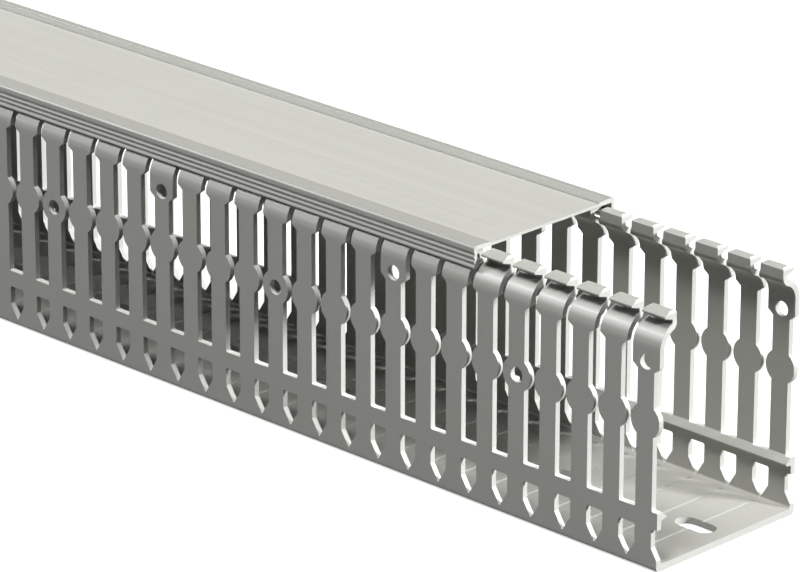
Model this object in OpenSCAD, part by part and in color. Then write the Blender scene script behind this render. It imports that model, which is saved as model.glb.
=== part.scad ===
// Slotted wire duct: a U-shaped PVC channel with punched finger walls, and a
// cover that snaps over the finger heads and slides along them.
// Millimetres, +X along the duct, +Z up.  The origin is the middle of the
// underside, halfway along the channel.

/* [Channel] */
// Number of finger pitches in the whole length (80 of 12.5 make the 1 m stock length)
pitches = 80; // [8:1:96]
// Spacing of the fingers along the duct
pitch = 12.5; // [11.5:0.1:16]
// Width of the channel over its two walls
duct_w = 60; // [40:1:120]
// Height of the closed duct, from the underside to the cover's top
duct_h = 80; // [70:1:120]
// Thickness of the finger walls
wall_t = 1.8; // [1.4:0.1:2.4]
// Thickness of the base
base_t = 2.1; // [1.5:0.1:3]
// Outer rounding of the bottom corners
foot_r = 1.2; // [0.4:0.1:2]
// Inner fillet between base and wall
fillet_r = 1.6; // [0.5:0.1:3]

/* [Rail] */
// Height of the rail's lower edge, the top of the break-out windows
rail_bottom = 12.9; // [11:0.1:18]
// Width of the solid rail between the windows and the finger slots
rail_h = 5.3; // [4:0.1:12]
// How far the snap rib on the rail's inner side stands out
rib_out = 2.1; // [1:0.1:3]
// Height of the rib where it leaves the wall
rib_root = 3.5; // [2.5:0.1:4]
// Height of the rib's blunt edge
rib_edge = 0.5; // [0.3:0.1:1]
// Height of the rib's root above the bottom of the finger slots
rib_rise = 0.3; // [0:0.1:1]
// Fall of the rib's upper slope from wall to edge
rib_fall = 1.9; // [1:0.1:2]
// Height at which a window's sides turn into its V
window_side = 7; // [5:0.1:9]
// Height of the V's point
window_tip = 1.8; // [1:0.1:3]
// Chamfer of a window's top corners
window_corner = 0.6; // [0.2:0.1:1]

/* [Fingers] */
// Width of the slot between two fingers
slot_w = 6.2; // [5:0.1:7.5]
// Distance from the sawn end to the first finger
end_gap = 2.2; // [1:0.1:3]
// Height of the bulges' middle
bulge_z = 45.2; // [38:0.2:50]
// Length of a bulge along the finger
bulge_l = 8.8; // [6:0.2:14]
// How far a bulge stands out on each side of its finger
bulge_out = 2.3; // [1:0.1:2.4]
// How far the shoulder stands out on each side of its finger
shoulder_out = 2; // [1:0.1:2.4]
// Depth of the shoulders' lower edge below the start of the bend
shoulder_depth = 1.2; // [0.5:0.1:3]
// Rise of the slanted underside of a shoulder
shoulder_rise = 1.5; // [0.5:0.1:3]

/* [Finger heads] */
// Outer radius of the inward bend
bend_r = 7.5; // [7:0.1:9]
// Depth of the bend's start below the cover's top
bend_depth = 12.7; // [12:0.1:16]
// Outer radius of the knee, where the finger turns up again into its head
knee_r = 2.6; // [2.2:0.1:3]
// Distance from the wall's outer face to the front of the lip
lip_in = 2.2; // [1.8:0.1:2.6]
// Distance from the wall's outer face to the bottom of the notch
notch_in = 5.4; // [5:0.1:5.6]
// Distance from the wall's outer face to the head's inner face
head_in = 7.1; // [6.8:0.1:7.4]
// Width of a head along the duct
head_w = 8.4; // [5:0.1:9]
// Thickness of a head over the notch
head_t = 2.5; // [2:0.1:3]
// Height of the lip's upright front edge
lip_h = 0.7; // [0.4:0.1:1.2]
// Fall of the head's top towards the lip
head_fall = 0.9; // [0:0.1:1.2]
// Width of that falling part of the top
fall_w = 2.4; // [1:0.1:2.8]
// Chamfer along the head's inner top edge
head_chamfer = 0.7; // [0.2:0.1:1]
// Height over which a finger narrows from its shoulders to its head
head_taper = 3.4; // [1:0.1:4]

/* [Retainer holes] */
// Diameter of the holes for wire retainers
retainer_d = 4.8; // [3:0.1:5.4]
// Number of fingers from one hole to the next, in turn high and low
retainer_step = 4; // [2:1:8]
// Depth of the high holes below the start of the bend
retainer_drop = 4.1; // [3.5:0.1:6]
// Height of shoulder below a high hole
hole_margin = 0.2; // [0:0.1:0.8]

/* [Base slots] */
// Width of the mounting slots
mount_w = 7; // [4:0.1:9]
// Length of the mounting slots
mount_l = 14; // [10:0.5:20]
// Number of finger pitches from one mounting slot to the next
mount_step = 4; // [2:1:8]
// Depth of the score lines across the base
score_d = 0.3; // [0.1:0.05:0.6]
// Width of the score lines
score_w = 0.8; // [0.4:0.1:1.5]

/* [Cover] */
// Thickness of the cover's panel
panel_t = 1.5; // [1:0.1:2]
// Thickness of the cover's skirts
skirt_t = 1.3; // [1:0.1:1.4]
// Height of the cover's skirts
skirt_h = 7; // [6.6:0.1:8]
// Radius of the cover's corners
cover_r = 1.2; // [0.5:0.1:2]
// Width of the ribbed band along each edge of the panel
band_w = 7.2; // [5:0.1:12]
// Spacing of the grooves in the bands and the skirts
groove_step = 1.6; // [1.2:0.1:1.8]
// Depth of the grooves
groove_d = 0.3; // [0.1:0.05:0.5]
// Depth of the first skirt groove below the rounded corner
groove_start = 0.6; // [0.4:0.1:1]
// Clearance between the cover and the finger heads
fit = 0.3; // [0.2:0.05:0.5]
// Height of the cover's hooks along the skirt
hook_h = 2.7; // [2:0.1:3]
// Overlap of a hook under a lip
hook_under = 1.4; // [0.8:0.1:1.8]
// Slant of the hook's tip
hook_slant = 0.2; // [0:0.1:0.6]
// Space between a hook's tip and the ceiling of the notch
hook_gap = 0.3; // [0.2:0.1:0.6]
// How far the cover is slid back from the channel's end
slid_back = 72.5; // [0:0.5:120]

/* [Hidden] */
$fn = 48;
past = 1;                                       // how far a cut runs past the surface
duct_l = pitches * pitch;
first_gap = duct_l / 2 - end_gap + slot_w / 2;  // middle of the gap at the +X end
rail_top = rail_bottom + rail_h;
bulge_r = (bulge_l * bulge_l / 4 + bulge_out * bulge_out) / (2 * bulge_out);
bend_z = duct_h - bend_depth;
head_top = duct_h - panel_t - fit;
lip_z = head_top - head_fall - lip_h;           // lower front edge of the lip
notch_z = head_top - head_t;                    // ceiling of the notch
retainer_z = bend_z - retainer_drop;
pad_z = retainer_z - retainer_d / 2 - hole_margin;
neck_z = notch_z - head_taper;

// The knee's circle touches the inner circle of the bend, sunk a little so that they cross.
sink = 0.06;
centres = bend_r - wall_t + knee_r;             // distance between the two circles' centres
centres_u = bend_r + knee_r - head_in;
knee_z = bend_z + sqrt(centres * centres - centres_u * centres_u) - sink;
touch_u = bend_r - (bend_r - wall_t) * centres_u / centres;
bend_past = 0.15;                               // how far the bend runs on past that touch
overlap = 0.5;                                  // how far the head's foot reaches into the bend

// A profile is drawn with u, the distance inward from the wall's outer face, and z.
// This sweeps each child along X, on both sides of the duct.
module along(l) {
  for (s = [0, 1], i = [0:$children - 1]) mirror([0, s, 0]) translate([0, -duct_w / 2, 0])
    rotate([90, 0, 90]) linear_extrude(l, center = true) children(i);
}

// Puts children drawn in (X, z) through both walls.
module through_walls() {
  rotate([90, 0, 0]) linear_extrude(duct_w + 2 * past, center = true) children();
}

// Base and foot, with the corner rounded outside and filleted inside.
module foot_section() {
  difference() {
    square([duct_w / 2, base_t + fillet_r]);
    translate([wall_t + fillet_r, base_t + fillet_r]) circle(fillet_r);
    translate([wall_t + fillet_r, base_t]) square([duct_w / 2, fillet_r + past]);
    difference() {
      translate([-past, -past]) square(foot_r + past);
      translate([foot_r, foot_r]) circle(foot_r);
    }
  }
}

module upright_section() {
  polygon([[0, base_t], [wall_t, base_t], [wall_t, bend_z], [0, bend_z]]);
}

// The snap rib along the inner side of the rail.
module rib_section() {
  top = rail_top + rib_rise;
  tip = wall_t + rib_out;
  polygon([[wall_t / 2, top], [wall_t, top], [tip, top - rib_fall],
    [tip, top - rib_fall - rib_edge], [wall_t, top - rib_root], [wall_t / 2, top - rib_root]]);
}

// The inward bend is an arc of the wall's thickness.
module bend_section() {
  intersection() {
    translate([bend_r, bend_z]) difference() {
      circle(bend_r);
      circle(bend_r - wall_t);
    }
    translate([0, bend_z]) square([touch_u + bend_past, bend_r + past]);
  }
}

// The head rises from the knee and reaches outward over the notch as a lip.
module head_section() {
  foot_u = touch_u - overlap;
  foot_z = knee_z - knee_r;
  difference() {
    polygon([[foot_u, foot_z], [foot_u, knee_z - knee_r / 2], [notch_in, knee_z - knee_r / 3],
      [notch_in, notch_z], [lip_in, lip_z], [lip_in, lip_z + lip_h], [lip_in + fall_w, head_top],
      [head_in - head_chamfer, head_top], [head_in, head_top - head_chamfer], [head_in, foot_z]]);
    difference() {
      translate([head_in - knee_r, foot_z - past]) square([knee_r + past, knee_r + past]);
      translate([head_in - knee_r, knee_z]) circle(knee_r);
    }
  }
}

// The gap between two fingers, as half widths over the height.  A bulge is an arc of a circle.
module gap(right_hole, left_hole, right_finger = true, left_finger = true) {
  h = slot_w / 2;
  right = gap_side(right_hole, h);
  left = gap_side(left_hole, h);
  difference() {
    polygon(concat(right_finger ? right : open_side(h),
      flipped(left_finger ? left : open_side(h))));
    for (s = [right_finger ? 1 : 0, left_finger ? -1 : 0]) if (s != 0)
      translate([s * (h - bulge_out + bulge_r), bulge_z]) circle(bulge_r);
  }
}

function gap_side(high_hole, h) = let (z = high_hole ? pad_z : bend_z - shoulder_depth)
  [[h, rail_top], [h, z], [h - shoulder_out, z + shoulder_rise], [h - shoulder_out, neck_z],
    [(pitch - head_w) / 2, notch_z], [(pitch - head_w) / 2, duct_h]];
function open_side(h) = [[h, rail_top], [h, duct_h]];
function flipped(p) = [for (i = [len(p) - 1:-1:0]) [-p[i][0], p[i][1]]];

// The break-out window below each gap.
module window() {
  h = slot_w / 2;
  c = window_corner;
  polygon([[-h, rail_bottom - c], [c - h, rail_bottom], [h - c, rail_bottom],
    [h, rail_bottom - c], [h, window_side], [0, window_tip], [-h, window_side]]);
}

// Finger 0 is the first at the +X end; every second hole sits high, in the shoulder.
function has_high_hole(finger) = finger % (2 * retainer_step) == 0;

module finger_gaps() {
  for (i = [0:pitches]) translate([first_gap - i * pitch, 0]) {
    gap(has_high_hole(i - 1), has_high_hole(i), i > 0, i < pitches);
    window();
  }
}

module retainer_holes() {
  for (i = [0:retainer_step:pitches - 1])
    translate([first_gap - pitch / 2 - i * pitch, 0, has_high_hole(i) ? retainer_z : bulge_z])
      rotate([90, 0, 0]) cylinder(d = retainer_d, h = duct_w + 2 * past, center = true);
}

module mounting_slots() {
  for (i = [1:mount_step:pitches - 1]) translate([first_gap - i * pitch, 0, -past]) {
    for (s = [-1, 1]) translate([s * (mount_l - mount_w) / 2, 0, 0])
      cylinder(d = mount_w, h = base_t + 2 * past);
    translate([-(mount_l - mount_w) / 2, -mount_w / 2, 0])
      cube([mount_l - mount_w, mount_w, base_t + 2 * past]);
  }
}

// Shallow V grooves across the base under each gap, where the channel is cut to length.
module score_lines() {
  w = duct_w - 2 * (wall_t + fillet_r + score_w);
  for (i = [1:pitches - 1]) translate([first_gap - i * pitch, 0, base_t])
    rotate([90, 0, 0]) linear_extrude(w, center = true)
      polygon([[-score_w, score_d], [score_w, score_d], [0, -score_d]]);
}

module channel() color("#939388") difference() {
  along(duct_l) {
    foot_section();
    upright_section();
    rib_section();
    bend_section();
    head_section();
  }
  through_walls() finger_gaps();
  retainer_holes();
  mounting_slots();
  score_lines();
}

// Half of the cover: panel, rounded corner, skirt and the hook under the finger lips.
module cover_section() {
  difference() {
    translate([0, duct_h - skirt_h]) square([duct_w / 2, skirt_h]);
    translate([skirt_t, 0]) square([duct_w, duct_h - panel_t]);
    difference() {
      translate([-past, duct_h - cover_r]) square(cover_r + past);
      translate([cover_r, duct_h - cover_r]) circle(cover_r);
    }
    for (i = [0:2]) translate([0, duct_h - cover_r - groove_start - i * groove_step]) groove();
    for (i = [0:1]) translate([band_w - i * groove_step, duct_h]) groove();
  }
}

module hook_section() {
  tip = lip_in + hook_under;
  top = notch_z - hook_gap;
  polygon([[skirt_t / 2, notch_z - hook_h + hook_gap], [skirt_t, notch_z - hook_h + hook_gap],
    [tip - hook_slant, top - 2 * hook_gap], [tip, top], [skirt_t, notch_z + hook_gap],
    [skirt_t / 2, notch_z + hook_gap]]);
}

module groove() { rotate(45) square(groove_d * sqrt(2), center = true); }

module cover() color("#a5a59b")
  translate([-slid_back, 0, 0]) along(duct_l) {
    cover_section();
    hook_section();
  }

channel();
cover();
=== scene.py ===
# %% [markdown]
# # A slotted wire duct in rigid PVC
#
# The object is a U-shaped channel with fingers along both walls, and a cover that
# snaps over the heads of the fingers.  The imported model gives the true sizes and
# the way that the cover slides.  This lesson dresses it: it makes both pieces again
# with the small roundings and steps that catch the light, and gives them the two
# finishes of such a duct, smooth where the die formed it and matt where a tool cut it.
# The cut faces are drawn in a paler grey, which is a painted highlight, and the bands
# on the cover's top in a darker grey, which is painted shade.

# %% The frame
import math

import bmesh
import bpy
from mathutils import Matrix, Vector


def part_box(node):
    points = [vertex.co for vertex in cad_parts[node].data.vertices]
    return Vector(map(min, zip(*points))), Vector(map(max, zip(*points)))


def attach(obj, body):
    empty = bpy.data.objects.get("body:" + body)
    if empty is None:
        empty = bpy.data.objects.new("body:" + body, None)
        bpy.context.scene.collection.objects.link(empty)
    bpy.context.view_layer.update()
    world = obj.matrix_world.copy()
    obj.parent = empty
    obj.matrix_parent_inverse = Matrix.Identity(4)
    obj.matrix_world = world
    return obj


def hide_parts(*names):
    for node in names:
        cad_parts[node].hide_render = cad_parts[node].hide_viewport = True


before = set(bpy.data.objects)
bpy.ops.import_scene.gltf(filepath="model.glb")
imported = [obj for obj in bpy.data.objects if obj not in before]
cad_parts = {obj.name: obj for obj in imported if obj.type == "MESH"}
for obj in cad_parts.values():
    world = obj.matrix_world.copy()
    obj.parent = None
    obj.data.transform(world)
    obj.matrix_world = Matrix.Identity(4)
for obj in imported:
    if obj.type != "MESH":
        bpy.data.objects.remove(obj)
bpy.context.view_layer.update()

# %% [markdown]
# ## The camera
#
# The view is the first thing to settle, because it decides how much detail each side
# needs.  The duct is seen from in front of its right-hand end with a long lens, so its
# edges are almost parallel.  A camera looks along its own -Z axis, so three directions
# and a place are all that it takes.

# %% Camera
SENSOR = 36.0
LENS = 229.57
camera_data = bpy.data.cameras.new("camera")
camera_data.sensor_width = SENSOR
camera_data.lens = LENS
camera_data.clip_start, camera_data.clip_end = 0.05, 20.0
camera = bpy.data.objects.new("camera", camera_data)
bpy.context.scene.collection.objects.link(camera)

camera_right = Vector((0.71137174, 0.70281361, 0.00181101))
camera_up = Vector((-0.25129545, 0.25194733, 0.93454435))
camera_back = Vector((0.65635421, -0.66526354, 0.35584207))
camera_place = Vector((1.3802461, -1.0261163, 0.5926100))
camera.matrix_world = Matrix((camera_right, camera_up, camera_back)).transposed().to_4x4()
camera.matrix_world.translation = camera_place
bpy.context.scene.camera = camera
print("camera at", [round(v, 3) for v in camera_place])

# %% [markdown]
# ## Sizes
#
# Every size is in millimetres, as a maker would write it, and is turned to metres only
# when a mesh is made.  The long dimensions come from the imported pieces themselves, so
# the new meshes always fill the same box.

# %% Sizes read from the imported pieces
MM = 0.001
channel_low, channel_high = (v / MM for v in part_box("channel"))
cover_low, cover_high = (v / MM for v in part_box("cover"))
DUCT_W = channel_high.y - channel_low.y
DUCT_H = cover_high.z - channel_low.z
END_X = channel_high.x
FAR_X = channel_low.x
PITCH = 12.5
PITCHES = round((END_X - FAR_X) / PITCH)
print("duct", round(DUCT_W, 2), "wide,", round(DUCT_H, 2), "high,", PITCHES, "pitches")

# %% Sizes of the wall and its fingers
WALL_T, BASE_T = 1.8, 2.1
FOOT_R, FILLET_R = 1.2, 0.9
RAIL_BOTTOM, RAIL_TOP = 12.9, 18.2
RIB_TOP, RIB_EDGE_HIGH, RIB_EDGE_LOW, RIB_ROOT, RIB_U = 18.5, 16.6, 16.1, 15.7, 3.9
WINDOW_SIDE, WINDOW_TIP = 7.0, 2.1
SLOT_W, END_GAP = 6.2, 2.2
FIRST_GAP = END_X - END_GAP + SLOT_W / 2
BULGE_Z, BULGE_L, BULGE_OUT = 45.2, 8.8, 2.3
BULGE_R = (BULGE_L ** 2 / 4 + BULGE_OUT ** 2) / (2 * BULGE_OUT)
SHOULDER_OUT, SHOULDER_RISE = 2.0, 1.5
BEND_R, BEND_Z = 7.5, DUCT_H - 12.7
SHOULDER_Z = BEND_Z - 1.2
KNEE_R, KNEE_U, KNEE_Z = 2.6, 4.5, DUCT_H - 5.02
HEAD_U, NOTCH_U, LIP_U = 7.1, 5.4, 2.2
HEAD_TOP, NOTCH_Z = DUCT_H - 1.8, DUCT_H - 4.3
HEAD_GAP_NEAR, HEAD_GAP_FAR, HEAD_CORNER_R = 1.5, 2.3, 0.8
LIP_TOP, LIP_LOW, LIP_SLOPE_W = HEAD_TOP - 0.9, HEAD_TOP - 1.6, 2.4
NECK_Z = NOTCH_Z - 3.4
HOLE_D, HIGH_HOLE_Z = 4.8, BEND_Z - 4.1
PAD_Z = HIGH_HOLE_Z - HOLE_D / 2 - 0.2
MOUNT_W, MOUNT_L = 7.0, 14.0
RETAINER_STEP = MOUNT_STEP = 4            # in finger pitches
SCORE_D, SCORE_W, SCORE_INSET = 0.3, 0.8, 2.4
CUT_PAST, JUST_PAST = 1, 0.02             # how far a cut runs past a surface
print("finger width", PITCH - SLOT_W, "mm, head", PITCH - HEAD_GAP_NEAR - HEAD_GAP_FAR, "mm")

# %% [markdown]
# ## Rounded outlines
#
# Nothing on a plastic part has a perfectly sharp corner.  Blender can bevel a finished
# mesh, but on a shape that is drawn as an outline it is simpler to round the outline
# first: each corner carries its own radius, and one function turns it into a short arc.

# %% Rounded corners and arcs
def rounded(corners, step=math.radians(22)):
    """Turns (a, b, radius) corners into points, each corner an arc of that radius."""
    points = []
    count = len(corners)
    for i, (a, b, radius) in enumerate(corners):
        here = Vector((a, b))
        if not radius:
            points.append((a, b))
            continue
        before = Vector(corners[i - 1][:2]) - here
        after = Vector(corners[(i + 1) % count][:2]) - here
        opening = before.angle(after)
        reach = radius / math.tan(opening / 2)
        centre = here + (before.normalized() + after.normalized()).normalized() \
            * radius / math.sin(opening / 2)
        start = here + before.normalized() * reach - centre
        turn = start.angle_signed(here + after.normalized() * reach - centre)
        steps = max(2, math.ceil(abs(turn) / step))
        for k in range(steps + 1):
            p = start.copy()
            p.rotate(Matrix.Rotation(-turn * k / steps, 2))
            points.append(tuple(centre + p))
    return points


def arc(centre, radius, start, end, steps):
    """Points on a circle from one angle in degrees to another, both included."""
    angles = [math.radians(start + (end - start) * k / steps) for k in range(steps + 1)]
    return [(centre[0] + radius * math.cos(t), centre[1] + radius * math.sin(t))
            for t in angles]


def sharp(points):
    """Marks points that are used as they are, with no radius."""
    return [(a, b, 0) for a, b in points]


print("a rounded square has", len(rounded([(0, 0, 1), (9, 0, 1), (9, 9, 1), (0, 9, 1)])),
      "points")

# %% [markdown]
# ## The channel's section
#
# The channel comes out of a die, so one section runs along its whole length.  Going up,
# the wall turns inward in an even bend, turns up again at the knee, and ends in a head
# that reaches back outward as a lip.  A notch under the lip is where the cover's hook
# holds.  The section is drawn once, for half the duct, with u as the distance inward
# from the wall's outer face, and is then mirrored.

# %% Half of the channel's section
touch = math.degrees(math.atan2(KNEE_Z - BEND_Z, BEND_R - KNEE_U))
outer_bend = arc((BEND_R, BEND_Z), BEND_R, 180, 180 - touch, 12)
inner_bend = arc((BEND_R, BEND_Z), BEND_R - WALL_T, 180 - touch, 180, 10)
knee = arc((KNEE_U, KNEE_Z), KNEE_R, -touch, 0, 7)
bend_end = Vector(outer_bend[-1])
into_notch = bend_end.y + (NOTCH_U - bend_end.x) / math.tan(math.radians(touch))

half_section = rounded(
    [(0, 0, FOOT_R)] + sharp(outer_bend)
    + [(NOTCH_U, into_notch, 0.7), (NOTCH_U, NOTCH_Z, 0.3), (LIP_U, LIP_LOW, 0.22),
       (LIP_U, LIP_TOP, 0.45), (LIP_U + LIP_SLOPE_W, HEAD_TOP, 1.2),
       (HEAD_U, HEAD_TOP, 0.7)]
    + sharp(reversed(knee)) + sharp(inner_bend)
    + [(WALL_T, RIB_TOP, 0.3), (RIB_U, RIB_EDGE_HIGH, 0.15), (RIB_U, RIB_EDGE_LOW, 0.15),
       (WALL_T, RIB_ROOT, 0.3), (WALL_T, BASE_T, FILLET_R),
       (DUCT_W / 2, BASE_T, 0), (DUCT_W / 2, 0, 0)])
half_section = half_section[:-2]
section = [(u - DUCT_W / 2, z) for u, z in half_section] \
    + [(DUCT_W / 2 - u, z) for u, z in reversed(half_section)]
print("channel section:", len(section), "points")

# %% [markdown]
# ## What the punch removes
#
# A press then punches the fingers out of the two plain walls.  Each gap is wider beside
# a bulge and narrower between the shoulders, and its upper end rounds the corners of
# the two heads beside it.  Below the rail sits a window with a V at its foot, where a
# knife can start to break the wall out.

# %% Outlines of a gap and a window
def gap_side(high_hole, head):
    """Half widths of a gap from its bottom up, on the side of one finger."""
    half = SLOT_W / 2
    shoulder = PAD_Z if high_hole else SHOULDER_Z
    bulge_middle = half - BULGE_OUT + BULGE_R
    swing = math.degrees(math.asin(BULGE_L / 2 / BULGE_R))
    corner = head + HEAD_CORNER_R
    bulge = arc((bulge_middle, BULGE_Z), BULGE_R, 180 + swing, 180 - swing, 10)
    return ([(half, RAIL_TOP, 0.5)] + sharp(bulge)
            + [(half, shoulder, 0.4), (half - SHOULDER_OUT, shoulder + SHOULDER_RISE, 0.45),
               (half - SHOULDER_OUT, NECK_Z, 2.0), (head, NOTCH_Z, 2.0)]
            + sharp(arc((corner, HEAD_TOP - HEAD_CORNER_R), HEAD_CORNER_R, 180, 100, 4))
            + [(corner, HEAD_TOP + JUST_PAST, 0), (corner, DUCT_H + CUT_PAST, 0)])


def open_side():
    """The side of an end gap that has no finger."""
    return [(SLOT_W / 2, RAIL_TOP, 0.5), (SLOT_W / 2, DUCT_H + CUT_PAST, 0)]


def gap_outline(right, left):
    """Joins two sides of a gap: the right one as it is, the left one mirrored."""
    return rounded(right + [(-a, b, r) for a, b, r in reversed(left)])


def window_outline():
    """The break-out window below a gap, with a V at its foot."""
    half = SLOT_W / 2
    return rounded([(-half, RAIL_BOTTOM, 0.6), (half, RAIL_BOTTOM, 0.6),
                    (half, WINDOW_SIDE, 0.8), (0, WINDOW_TIP, 0.25),
                    (-half, WINDOW_SIDE, 0.8)])


print("gap outline:", len(gap_outline(gap_side(False, HEAD_GAP_FAR),
                                      gap_side(False, HEAD_GAP_NEAR))), "points")

# %% [markdown]
# ## Cutting with Booleans
#
# The mesh is made as the real part is: first the plain section, then the cuts.  A Boolean
# modifier with the exact solver keeps flat faces whole and passes on the material of the
# face that made the cut, so punched faces get their own finish without any selecting.
# The pattern repeats every eight fingers, so only eight are cut, and copies are welded
# end to end.

# %% Prisms and the Boolean
EXTRUDED, CUT, SHADED_BAND = 0, 1, 2


def prism(bm, outline, low, high, place, material):
    """Adds a closed prism: place(a, b, t) gives a corner for t at low or high."""
    rings = [[bm.verts.new(place(a, b, t)) for a, b in outline] for t in (low, high)]
    faces = [bm.faces.new(list(reversed(rings[0]))), bm.faces.new(rings[1])]
    for i in range(len(outline)):
        j = (i + 1) % len(outline)
        faces.append(bm.faces.new((rings[0][i], rings[0][j], rings[1][j], rings[1][i])))
    for face in faces:
        face.material_index = material


def as_object(bm, name):
    """Makes an object with the three material slots from bm, and frees bm."""
    bmesh.ops.recalc_face_normals(bm, faces=bm.faces)
    mesh = bpy.data.meshes.new(name)
    bm.to_mesh(mesh)
    bm.free()
    for slot_name in ("extruded", "cut", "ribbed"):
        mesh.materials.append(bpy.data.materials.get(slot_name)
                              or bpy.data.materials.new(slot_name))
    made = bpy.data.objects.new(name, mesh)
    bpy.context.scene.collection.objects.link(made)
    return made


def cut_away(body, cutter):
    """Replaces body's mesh by body minus cutter, and deletes the cutter."""
    boolean = body.modifiers.new("cut", "BOOLEAN")
    boolean.operation, boolean.solver, boolean.object = "DIFFERENCE", "EXACT", cutter
    boolean.material_mode = "INDEX"
    depsgraph = bpy.context.evaluated_depsgraph_get()
    result = bpy.data.meshes.new_from_object(body.evaluated_get(depsgraph))
    body.modifiers.clear()
    body.data = result
    bpy.data.objects.remove(cutter)


# Three ways for a prism to lie, as its outline (a, b) is swept along t.
def along_x(a, b, t):
    return (t, a, b)


def through_walls(a, b, t):
    return (a, t, b)


def upright(a, b, t):
    return (a, b, t)


print("cutters run", CUT_PAST, "mm past the surfaces that they cut")

# %% A run of eight fingers
RUN = 8


def has_high_hole(finger):
    """Every second retainer hole sits high, in its finger's shoulder."""
    return finger % (2 * RETAINER_STEP) == 0


def run_of_fingers(first, high_x, low_x):
    """The channel from high_x down to low_x, with the gaps of eight fingers cut out."""
    bm = bmesh.new()
    prism(bm, section, low_x, high_x, along_x, EXTRUDED)
    body = as_object(bm, "run")
    reach = DUCT_W / 2 + CUT_PAST

    bm = bmesh.new()
    for i in range(first, first + RUN + 1):
        middle = FIRST_GAP - i * PITCH
        right = gap_side(has_high_hole(i - 1), HEAD_GAP_FAR) if i > 0 else open_side()
        left = gap_side(has_high_hole(i), HEAD_GAP_NEAR) if i < PITCHES else open_side()
        for outline in (gap_outline(right, left), window_outline()):
            placed = [(a + middle, b) for a, b in outline]
            prism(bm, placed, -reach, reach, through_walls, CUT)
        if i % RETAINER_STEP == 0 and i < first + RUN:
            z = HIGH_HOLE_Z if has_high_hole(i) else BULGE_Z
            hole = arc((middle - PITCH / 2, z), HOLE_D / 2, 0, 345, 23)
            prism(bm, hole, -reach, reach, through_walls, CUT)
    cut_away(body, as_object(bm, "punch"))

    bm = bmesh.new()
    far = (MOUNT_L - MOUNT_W) / 2
    for i in range(first + 1, first + RUN, MOUNT_STEP):
        middle = FIRST_GAP - i * PITCH
        slot = arc((middle + far, 0), MOUNT_W / 2, -90, 90, 12) \
            + arc((middle - far, 0), MOUNT_W / 2, 90, 270, 12)
        prism(bm, slot, -CUT_PAST, BASE_T + CUT_PAST, upright, CUT)
    cut_away(body, as_object(bm, "slot punch"))

    bm = bmesh.new()
    reach = DUCT_W / 2 - WALL_T - SCORE_INSET
    for i in range(first, first + RUN + 1):
        middle = FIRST_GAP - i * PITCH
        score = [(middle - SCORE_W, BASE_T + SCORE_D),
                 (middle, BASE_T - SCORE_D - JUST_PAST),
                 (middle + SCORE_W, BASE_T + SCORE_D)]
        prism(bm, score, -reach, reach, through_walls, EXTRUDED)
    cut_away(body, as_object(bm, "scorer"))
    return body


first_run = run_of_fingers(0, END_X, FIRST_GAP - RUN * PITCH)
middle_run = run_of_fingers(RUN, FIRST_GAP - RUN * PITCH, FIRST_GAP - 2 * RUN * PITCH)
last_run = run_of_fingers(PITCHES - RUN, FIRST_GAP - (PITCHES - RUN) * PITCH, FAR_X)
print("a run of eight fingers has", len(middle_run.data.polygons), "faces")

# %% [markdown]
# ## Welding the runs
#
# Where two runs meet, both have an end face that would stay inside the finished mesh.
# Those faces are deleted and the matching corners welded, so the channel is one skin
# with nothing inside.  Only the two sawn ends of the duct keep their faces, which get
# the cut finish.  At the rims of the high holes a few faces without area drop out.
# Their edges are counted as open, but they leave no gap that could be seen.

# %% Joining and welding
ON_PLANE, AT_END, WELD = 0.001, 0.01, 0.002
SHARP_ANGLE = math.radians(32)


def add_run(bm, run, shift):
    """Adds a run's mesh to bm, moved along X, without its inner end faces."""
    piece = bmesh.new()
    piece.from_mesh(run.data)
    bmesh.ops.translate(piece, vec=(shift, 0, 0), verts=piece.verts)
    ends = [f for f in piece.faces if abs(f.normal.x) > 0.999]
    low = min(v.co.x for v in piece.verts)
    high = max(v.co.x for v in piece.verts)
    inner = []
    for face in ends:
        x = face.calc_center_median().x
        if min(abs(x - low), abs(x - high)) < ON_PLANE:
            if min(abs(x - END_X), abs(x - FAR_X)) < AT_END:
                face.material_index = CUT
            else:
                inner.append(face)
    bmesh.ops.delete(piece, geom=inner, context="FACES")
    passing = bpy.data.meshes.new("passing")
    piece.to_mesh(passing)
    piece.free()
    bm.from_mesh(passing)
    bpy.data.meshes.remove(passing)


def finish_mesh(bm, name):
    """Turns millimetres to metres and sets smooth faces with sharp edges."""
    bmesh.ops.scale(bm, vec=(MM, MM, MM), verts=bm.verts)
    for face in bm.faces:
        face.smooth = True
    for edge in bm.edges:
        edge.smooth = len(edge.link_faces) == 2 and edge.calc_face_angle() < SHARP_ANGLE
    made = as_object(bm, name)
    weighted = made.modifiers.new("even shading", "WEIGHTED_NORMAL")
    weighted.keep_sharp = True
    return made


bm = bmesh.new()
add_run(bm, first_run, 0)
for k in range(1, PITCHES // RUN - 1):
    add_run(bm, middle_run, -(k - 1) * RUN * PITCH)
add_run(bm, last_run, 0)
bmesh.ops.remove_doubles(bm, verts=bm.verts, dist=WELD)
open_edges = sum(1 for e in bm.edges if len(e.link_faces) != 2)
channel = finish_mesh(bm, "channel_skin")
for run in (first_run, middle_run, last_run):
    bpy.data.objects.remove(run)
print("channel:", len(channel.data.polygons), "faces,", open_edges, "open edges")

# %% [markdown]
# ## The cover
#
# The cover is extruded too, and nothing is punched out of it.  Its skirts carry three
# rounded ridges for grip and a hook on the inside.  Its top is highest in a band along
# each edge, which goes down in three fine steps to a flat panel.  One section along the
# whole length is all it needs.

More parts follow.
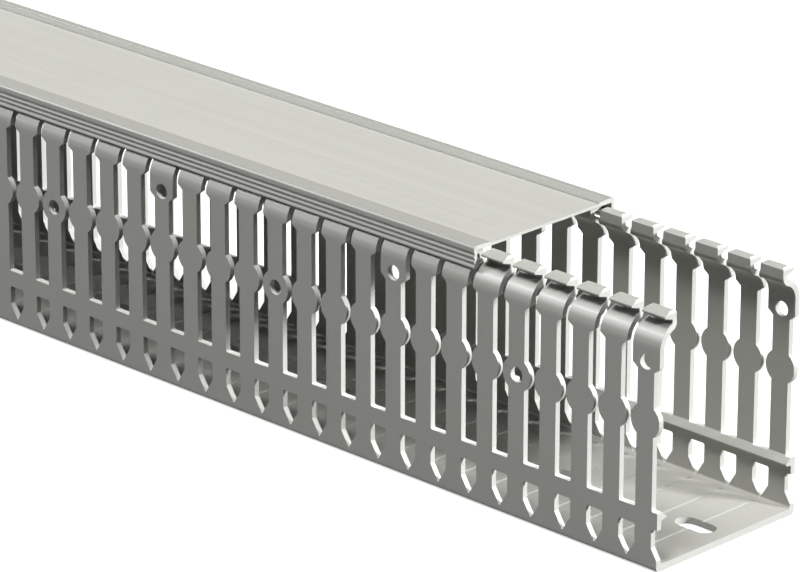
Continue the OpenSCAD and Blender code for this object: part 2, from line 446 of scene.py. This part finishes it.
# %% The cover's section
PANEL_T, SKIRT_T, SKIRT_LOW = 1.5, 1.3, DUCT_H - 7.0
FIRST_CREST, CREST_PITCH = 0.55, 1.5
CRESTS = [SKIRT_LOW + FIRST_CREST + k * CREST_PITCH for k in range(3)]
CREST_TO_GROOVE, SKIRT_GROOVE = 0.72, 0.3
HOOK_TIP, HOOK_SLANT, HOOK_FIT, HOOK_LOW = 3.6, 0.2, 0.3, NOTCH_Z - 2.4
BAND_W = 6.8
# Each step: its distance from the cover's side, and the level that it goes down to.
TERRACES = [(3.3, DUCT_H - 0.10), (4.95, DUCT_H - 0.22), (BAND_W, DUCT_H - 0.60)]
STEP_RUN, STEP_R = 0.06, 0.04
PANEL_Z = TERRACES[-1][1]

cover_corners = [(0, SKIRT_LOW, 0.25)]
for z in CRESTS:
    cover_corners += [(0, z, 0.3), (SKIRT_GROOVE, z + CREST_TO_GROOVE, 0.2)]
cover_corners += [(0, CRESTS[-1] + CREST_PITCH, 0.3), (0, DUCT_H, 1.0)]
level = DUCT_H
for u, lower in TERRACES:
    cover_corners += [(u, level, STEP_R), (u + STEP_RUN, lower, STEP_R)]
    level = lower
cover_corners += [(DUCT_W / 2, PANEL_Z, 0), (DUCT_W / 2, DUCT_H - PANEL_T, 0),
                  (SKIRT_T, DUCT_H - PANEL_T, 0.3), (SKIRT_T, NOTCH_Z + HOOK_FIT, 0.1),
                  (HOOK_TIP, NOTCH_Z - HOOK_FIT, 0.12),
                  (HOOK_TIP - HOOK_SLANT, NOTCH_Z - 3 * HOOK_FIT, 0.12),
                  (SKIRT_T, HOOK_LOW, 0.2), (SKIRT_T, SKIRT_LOW, 0.25)]
half_cover = rounded(cover_corners)
# The two points on the centre line go, because the mirrored half joins on there.
on_centre = [i for i, (u, z) in enumerate(half_cover) if abs(u - DUCT_W / 2) < 1e-6]
half_cover = half_cover[on_centre[1] + 1:] + half_cover[:on_centre[0]]
cover_section = [(u - DUCT_W / 2, z) for u, z in half_cover] \
    + [(DUCT_W / 2 - u, z) for u, z in reversed(half_cover)]

bm = bmesh.new()
prism(bm, cover_section, cover_low.x, cover_high.x, along_x, EXTRUDED)
for face in bm.faces:
    middle = face.calc_center_median()
    if len(face.verts) > 4:
        face.material_index = CUT
    # The faces of the raised edge bands get a darker grey of the same PVC: painted shade.
    elif middle.z > PANEL_Z - 0.05 and abs(middle.y) > DUCT_W / 2 - BAND_W:
        face.material_index = SHADED_BAND
cover = finish_mesh(bm, "cover_skin")
print("cover:", len(cover.data.polygons), "faces")

# %% [markdown]
# ## Colours and nodes
#
# Shaders work in linear light, while colours are chosen on screens, so one function turns
# a hex value into the numbers that a shader wants.  A second small function adds a node
# with its settings and its links in one line, which keeps a material readable as a list.

# %% Two helpers for materials
def linear(hex_value):
    """A colour written in hex, as linear red, green, blue and alpha."""
    parts = [int(hex_value[i:i + 2], 16) / 255 for i in (1, 3, 5)]
    return [p / 12.92 if p <= 0.04045 else ((p + 0.055) / 1.055) ** 2.4
            for p in parts] + [1.0]


def add_node(tree, kind, settings=None, **inputs):
    """Adds a node.  Inputs are given by name: a socket is linked, a value is set."""
    node = tree.nodes.new(kind)
    for key, value in (settings or {}).items():
        setattr(node, key, value)
    for key, value in inputs.items():
        socket = node.inputs[int(key[1:]) if key[0] == "_" else key.replace("_", " ")]
        if isinstance(value, bpy.types.NodeSocket):
            tree.links.new(value, socket)
        else:
            socket.default_value = value
    return node


def new_material(name):
    """An empty material, taking up a slot that already has this name."""
    material = bpy.data.materials.get(name) or bpy.data.materials.new(name)
    material.use_nodes = True
    material.node_tree.nodes.clear()
    return material, material.node_tree


print("stone grey in linear light:", [round(c, 3) for c in linear("#a1a19b")[:3]])

# %% [markdown]
# ## Extruded rigid PVC
#
# Rigid PVC for ducts is a warm stone grey all through.  It leaves the die with a satin
# skin: even in colour, with faint streaks that run along the duct, because every small
# mark in the die is drawn out for metres.  The eye reads that as a soft sheen that is
# broken across the duct and smooth along it.  PVC has an IOR of 1.54.  Real die lines
# are 0.05 to 0.2 mm wide.  They are drawn about 0.8 mm wide here, so that they show.

# %% Extruded PVC
def extruded_pvc(name, colour):
    """Satin PVC with streaks along the duct, in a grey given in hex."""
    material, tree = new_material(name)
    place = add_node(tree, "ShaderNodeTexCoord").outputs["Object"]
    stretched = add_node(tree, "ShaderNodeMapping", {"vector_type": "POINT"}, Vector=place,
                         Scale=(4.0, 1200.0, 1200.0)).outputs[0]
    die_lines = add_node(tree, "ShaderNodeTexNoise", Vector=stretched, Scale=1.0,
                         Detail=3.0, Roughness=0.6).outputs["Fac"]
    clouds = add_node(tree, "ShaderNodeTexNoise", Vector=place, Scale=28.0,
                      Detail=2.0).outputs["Fac"]
    grain = add_node(tree, "ShaderNodeTexNoise", Vector=place, Scale=1500.0,
                     Detail=2.0).outputs["Fac"]
    shade = add_node(tree, "ShaderNodeMath", {"operation": "MULTIPLY_ADD"},
                     _0=clouds, _1=0.06, _2=0.97)
    streak = add_node(tree, "ShaderNodeMath", {"operation": "MULTIPLY_ADD"},
                      _0=die_lines, _1=0.10, _2=-0.05)
    value = add_node(tree, "ShaderNodeMath", {"operation": "ADD"},
                     _0=shade.outputs[0], _1=streak.outputs[0])
    tone = add_node(tree, "ShaderNodeHueSaturation", Color=linear(colour),
                    Value=value.outputs[0])
    roughness = add_node(tree, "ShaderNodeMapRange", Value=die_lines, From_Min=0.3,
                         From_Max=0.7, To_Min=0.40, To_Max=0.52)
    lines_bump = add_node(tree, "ShaderNodeBump", Strength=0.12, Distance=0.0001,
                          Height=die_lines)
    bump = add_node(tree, "ShaderNodeBump", Strength=0.10, Distance=0.00005, Height=grain,
                    Normal=lines_bump.outputs[0])
    surface = add_node(tree, "ShaderNodeBsdfPrincipled", Base_Color=tone.outputs[0],
                       Roughness=roughness.outputs[0], IOR=1.54, Normal=bump.outputs[0])
    add_node(tree, "ShaderNodeOutputMaterial", Surface=surface.outputs[0])
    return material


channel_pvc = extruded_pvc("extruded_pvc_channel", "#a1a19b")
cover_pvc = extruded_pvc("extruded_pvc_cover", "#a8a8a2")
# The cover's edge bands: the same grey made darker, as painted shade.
ribbed_pvc = extruded_pvc("ribbed_pvc_cover", "#95958f")
print("made", channel_pvc.name, cover_pvc.name, "and", ribbed_pvc.name)

# %% [markdown]
# ## Cut PVC
#
# A punch or a saw leaves a matt face.  Here it is drawn in a paler grey than the skin:
# a painted highlight, standing in for the bright light on the cut faces.  Shear marks run
# across the wall's thickness.  Real ones are 0.05 mm apart and are drawn 0.3 mm apart.

# %% Punched and sawn PVC
def cut_pvc(name, colour):
    """Matt PVC with shear marks across the wall, in a grey given in hex."""
    material, tree = new_material(name)
    place = add_node(tree, "ShaderNodeTexCoord").outputs["Object"]
    stretched = add_node(tree, "ShaderNodeMapping", Vector=place,
                         Scale=(3000.0, 400.0, 3000.0)).outputs[0]
    shear = add_node(tree, "ShaderNodeTexNoise", Vector=stretched, Scale=1.0,
                     Detail=3.0).outputs["Fac"]
    value = add_node(tree, "ShaderNodeMath", {"operation": "MULTIPLY_ADD"},
                     _0=shear, _1=0.16, _2=0.92)
    tone = add_node(tree, "ShaderNodeHueSaturation", Color=linear(colour),
                    Value=value.outputs[0])
    bump = add_node(tree, "ShaderNodeBump", Strength=0.25, Distance=0.0001, Height=shear)
    roughness = add_node(tree, "ShaderNodeMapRange", Value=shear, From_Min=0.3,
                         From_Max=0.7, To_Min=0.62, To_Max=0.8)
    surface = add_node(tree, "ShaderNodeBsdfPrincipled", Base_Color=tone.outputs[0],
                       Roughness=roughness.outputs[0], IOR=1.54, Normal=bump.outputs[0])
    add_node(tree, "ShaderNodeOutputMaterial", Surface=surface.outputs[0])
    return material


# The paler grey of the cut faces is a painted highlight.
punched_pvc_painted_highlight = cut_pvc("punched_pvc_painted_highlight", "#c8c8c3")
print("made", punched_pvc_painted_highlight.name)

# %% Dressing the two pieces
for piece, skin in ((channel, channel_pvc), (cover, cover_pvc)):
    piece.data.materials[EXTRUDED] = skin
    piece.data.materials[CUT] = punched_pvc_painted_highlight
cover.data.materials[SHADED_BAND] = ribbed_pvc
channel.data.materials.pop(index=SHADED_BAND)

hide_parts("channel")
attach(channel, "duct")
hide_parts("cover")
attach(cover, "lid")
print("pieces:", channel.name, cover.name)

# %% [markdown]
# ## The floor
#
# The duct lies on a plain white floor.  To the camera and in reflections the floor is
# white with a faint shadow.  To every other ray it is nearly black, because a white
# floor would throw light up into the duct and flatten the shapes.  The Light Path node
# tells the rays apart.

# %% Floor
FLOOR_SIZE, FLOOR_Z = 6.0, -0.0002
FLOOR_GREY, FLOOR_GLOW, FLOOR_BOUNCE = 0.5, 0.62, 0.03
bm = bmesh.new()
corners = [(-1, -1), (1, -1), (1, 1), (-1, 1)]
bm.faces.new([bm.verts.new((x * FLOOR_SIZE, y * FLOOR_SIZE, FLOOR_Z)) for x, y in corners])
floor_mesh = bpy.data.meshes.new("floor")
bm.to_mesh(floor_mesh)
bm.free()
floor = bpy.data.objects.new("floor", floor_mesh)
bpy.context.scene.collection.objects.link(floor)

floor_paint, tree = new_material("matt_floor_paint")
path = add_node(tree, "ShaderNodeLightPath")
sees = add_node(tree, "ShaderNodeMath", {"operation": "MAXIMUM"},
                _0=path.outputs["Is Camera Ray"], _1=path.outputs["Is Glossy Ray"])
shaded = add_node(tree, "ShaderNodeBsdfDiffuse", Color=(FLOOR_GREY,) * 3 + (1,))
white = add_node(tree, "ShaderNodeEmission", Color=(1, 1, 1, 1), Strength=FLOOR_GLOW)
seen = add_node(tree, "ShaderNodeAddShader", _0=shaded.outputs[0], _1=white.outputs[0])
unseen = add_node(tree, "ShaderNodeBsdfDiffuse", Color=(FLOOR_BOUNCE,) * 3 + (1,))
mixed = add_node(tree, "ShaderNodeMixShader", _0=sees.outputs[0], _1=unseen.outputs[0],
                 _2=seen.outputs[0])
add_node(tree, "ShaderNodeOutputMaterial", Surface=mixed.outputs[0])
floor_mesh.materials.append(floor_paint)
print("floor", 2 * FLOOR_SIZE, "m wide")

# %% [markdown]
# ## Light
#
# Two suns do most of the work.  The key comes from beyond the right-hand end and a
# little behind the duct: it makes the punched faces shine and leaves the front wall in
# half shade, which is what shows the fingers apart.  The overhead sun opens the cover's
# top.  A third sun, from the left and above, takes part in reflections only, and draws
# the soft sheen along the bends.  The world is white to the camera and gives next to no
# light itself, so faces in shade stay dark.  Suns are used because the duct is long:
# their light is as strong at one end as at the other.

# %% Lamps and world
WORLD_SEEN, WORLD_FILL = 1.0, 0.02


def sun(name, toward, factor, width):
    """A sun that shines from the direction toward; factor 1 shows a colour as written."""
    lamp = bpy.data.lights.new(name, "SUN")
    lamp.energy = factor * math.pi
    lamp.angle = math.radians(width)
    made = bpy.data.objects.new(name, lamp)
    made.rotation_euler = Vector(toward).to_track_quat("Z", "Y").to_euler()
    bpy.context.scene.collection.objects.link(made)
    return made


key = sun("key", (0.82, 0.36, 0.48), 1.5, 9)
overhead = sun("overhead", (0.05, -0.30, 0.95), 1.16, 20)
sheen = sun("sheen", (-0.66, -0.50, 0.50), 1.4, 20)
sheen.visible_diffuse = False

world = bpy.data.worlds.new("studio")
bpy.context.scene.world = world
world.use_nodes = True
tree = world.node_tree
tree.nodes.clear()
path = add_node(tree, "ShaderNodeLightPath")
seen = add_node(tree, "ShaderNodeMath", {"operation": "MAXIMUM"},
                _0=path.outputs["Is Camera Ray"], _1=path.outputs["Is Transmission Ray"])
strength = add_node(tree, "ShaderNodeMapRange", Value=seen.outputs[0],
                    To_Min=WORLD_FILL, To_Max=WORLD_SEEN)
sky = add_node(tree, "ShaderNodeBackground", Color=(1, 1, 1, 1),
               Strength=strength.outputs[0])
add_node(tree, "ShaderNodeOutputWorld", Surface=sky.outputs[0])
bpy.context.scene.view_settings.view_transform = "Standard"
print("lights:", key.name, overhead.name, sheen.name)

# %% [markdown]
# ## Updating the scene
#
# The dressed duct has to fill the same box as the imported model.  Here the scene is updated
# once more.

# %% Updating the scene
bpy.context.view_layer.update()
